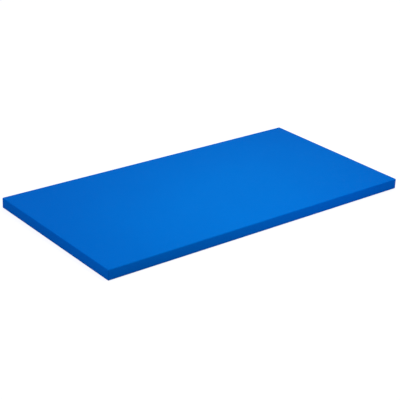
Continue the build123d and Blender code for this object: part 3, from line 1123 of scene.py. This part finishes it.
# %% Metal finishes
def rubbed_metal(name, color, roughness, stretch, depth, nodes):
    """Metal with long fine scratches, made by noise squeezed across the zip."""
    look = Finish(name, color, roughness, Metallic=1.0)
    squeezed = look.add("Mapping", Vector=look.at, Scale=stretch).outputs[0]
    scratches = look.noise(1.0, 4, 0.6, squeezed)
    look.shade(Base_Color=look.between(look.noise(180, 3), dimmed(color), color),
               Roughness=look.ranged(scratches, 0.35, 0.65, roughness - 0.08, roughness + 0.12))
    look.relief(scratches, depth, 0.35)
    look.wear(*(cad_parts[node] for node in nodes))


rubbed_metal("nickel_plate", (0.56, 0.55, 0.53), 0.3, (250.0, 2500.0, 2500.0), 0.01 * MM,
             ("zip_slider_body", "zip_pull_tab"))
rubbed_metal("stop_aluminium", (0.74, 0.74, 0.75), 0.36, (900.0, 900.0, 300.0), 0.015 * MM,
             ("zip_top_stops", "zip_bottom_stop"))
print("finishes:", sorted(m.name for m in bpy.data.materials if m.users))


# %% [markdown]
# ## The stage
#
# The pad lies on a plain pale floor in a white room. The floor is a light grey to every lamp.
# To the camera, and in mirror-like surfaces, most of its grey gives way to a white glow of
# its own, so the room looks white while the contact shadow stays. A brighter lamp would make
# the floor white too, but it would bleach the pad.

# %% Floor
def show(look, plain, shown, output):
    """The plain shader for light that spreads, the shown one for the camera, metal and glass."""
    path = look.add("LightPath").outputs
    seen = look.math("MAXIMUM", path["Is Camera Ray"], path["Is Glossy Ray"])
    seen = look.math("MAXIMUM", seen, path["Is Transmission Ray"])
    mixed = look.add("MixShader", _0=seen, _1=plain.outputs[0], _2=shown.outputs[0])
    look.connect(look.tree.nodes[output], Surface=mixed.outputs[0])


floor_mesh = bpy.data.meshes.new("floor")
floor_mesh.from_pydata([(-30, -30, 0), (30, -30, 0), (30, 30, 0), (-30, 30, 0)], [], [(0, 1, 2, 3)])
floor = bpy.data.objects.new("floor", floor_mesh)
bpy.context.collection.objects.link(floor)
floor_look = Finish("pale_floor", (0.5, 0.5, 0.5), 0.9, 0.0)
shade = floor_look.add("BsdfDiffuse", Color=(0.25, 0.25, 0.25, 1))
glow = floor_look.add("Emission", Strength=0.86)
white_floor = floor_look.add("AddShader", _0=shade.outputs[0], _1=glow.outputs[0])
show(floor_look, floor_look.shader, white_floor, "Material Output")
floor_look.wear(floor)

print("floor:", [round(size) for size in floor.dimensions], "m")


# %% [markdown]
# The room fills the shade with a cool light that is a little stronger behind the pad than
# before it, as in a room with its window at the back. The camera sees plain white instead.

# %% Room
world = bpy.data.worlds.new("soft_room")
bpy.context.scene.world = world
world.use_nodes = True
room = Nodes(world)
fill_strength = 0.904
towards = room.add("VectorMath", {"operation": "DOT_PRODUCT"},
                   _0=room.add("TexCoord").outputs["Generated"], _1=(-0.05, 0.30, 0.0)).outputs["Value"]
fill = room.connect(room.tree.nodes["Background"], Color=(0.66, 0.672, 1.0, 1),
                    Strength=room.math("MULTIPLY_ADD", towards, fill_strength, fill_strength))
show(room, fill, room.add("Background", Color=(1, 1, 1, 1)), "World Output")


print(f"fill light: {fill_strength}")


# %% [markdown]
# A long soft strip lamp hangs over the front side, turned a little, so the top is brightest
# along the front and falls off towards the far left corner. A small cool lamp stands low in
# front of the pad, right of its middle, and wakes the front side there.

# %% Lamps
def soft_lamp(name, size, watts, colour, place, turn):
    """A rectangular lamp that lights the pad and is not seen itself."""
    data = bpy.data.lights.new(name, "AREA")
    data.shape = "RECTANGLE"
    data.size, data.size_y = size
    data.energy, data.color = watts, colour
    lamp = bpy.data.objects.new(name, data)
    lamp.location, lamp.rotation_euler = place, turn
    lamp.visible_camera = False
    bpy.context.collection.objects.link(lamp)


soft_lamp("strip_lamp", (1.9, 0.4), 11.6, (1.0, 1.0, 0.72), (0.05, -0.30, 1.35), (0, 0, 0.615))
soft_lamp("front_lamp", (0.5, 0.3), 1.7, (0.46, 0.46, 1.0), (0.5, -1.3, 0.35),
          (math.radians(75), 0, 0))
print("lamps:", [lamp.name for lamp in bpy.data.lights])


# %% [markdown]
# ## The camera
#
# A long lens stands six metres away, off the front left corner, and looks down at 24 degrees.
# It leans by two and a half degrees, as a hand-held one does. The three axes are worked out
# from those angles: backwards along the view, to the right, and up. They are the columns of
# the camera's matrix.

# %% Camera
azimuth, elevation, lean = (math.radians(angle) for angle in (-39.705, 24.139, 2.617))
distance, aside, above = 6.2892, -0.0330, -0.0137
right = np.array((math.cos(azimuth), math.sin(azimuth), 0.0))
level_back = np.array((math.sin(azimuth), -math.cos(azimuth), 0.0))
back = math.cos(elevation) * level_back + math.sin(elevation) * np.array((0.0, 0.0, 1.0))
up = np.cross(back, right)
spot = back * distance + right * aside + up * above
leaning_right = math.cos(lean) * right + math.sin(lean) * up
leaning_up = math.cos(lean) * up - math.sin(lean) * right
matrix = np.eye(4)
matrix[:3, :4] = np.column_stack((leaning_right, leaning_up, back, spot))
camera_data = bpy.data.cameras.new("camera")
camera_data.sensor_width = 36
camera_data.lens = 101.783
camera = bpy.data.objects.new("camera", camera_data)
bpy.context.collection.objects.link(camera)
camera.matrix_world = matrix.T.tolist()
bpy.context.scene.camera = camera
bpy.context.scene.view_settings.view_transform = "Standard"
print(f"camera {distance:.2f} m away, lens {camera_data.lens:.1f} mm")
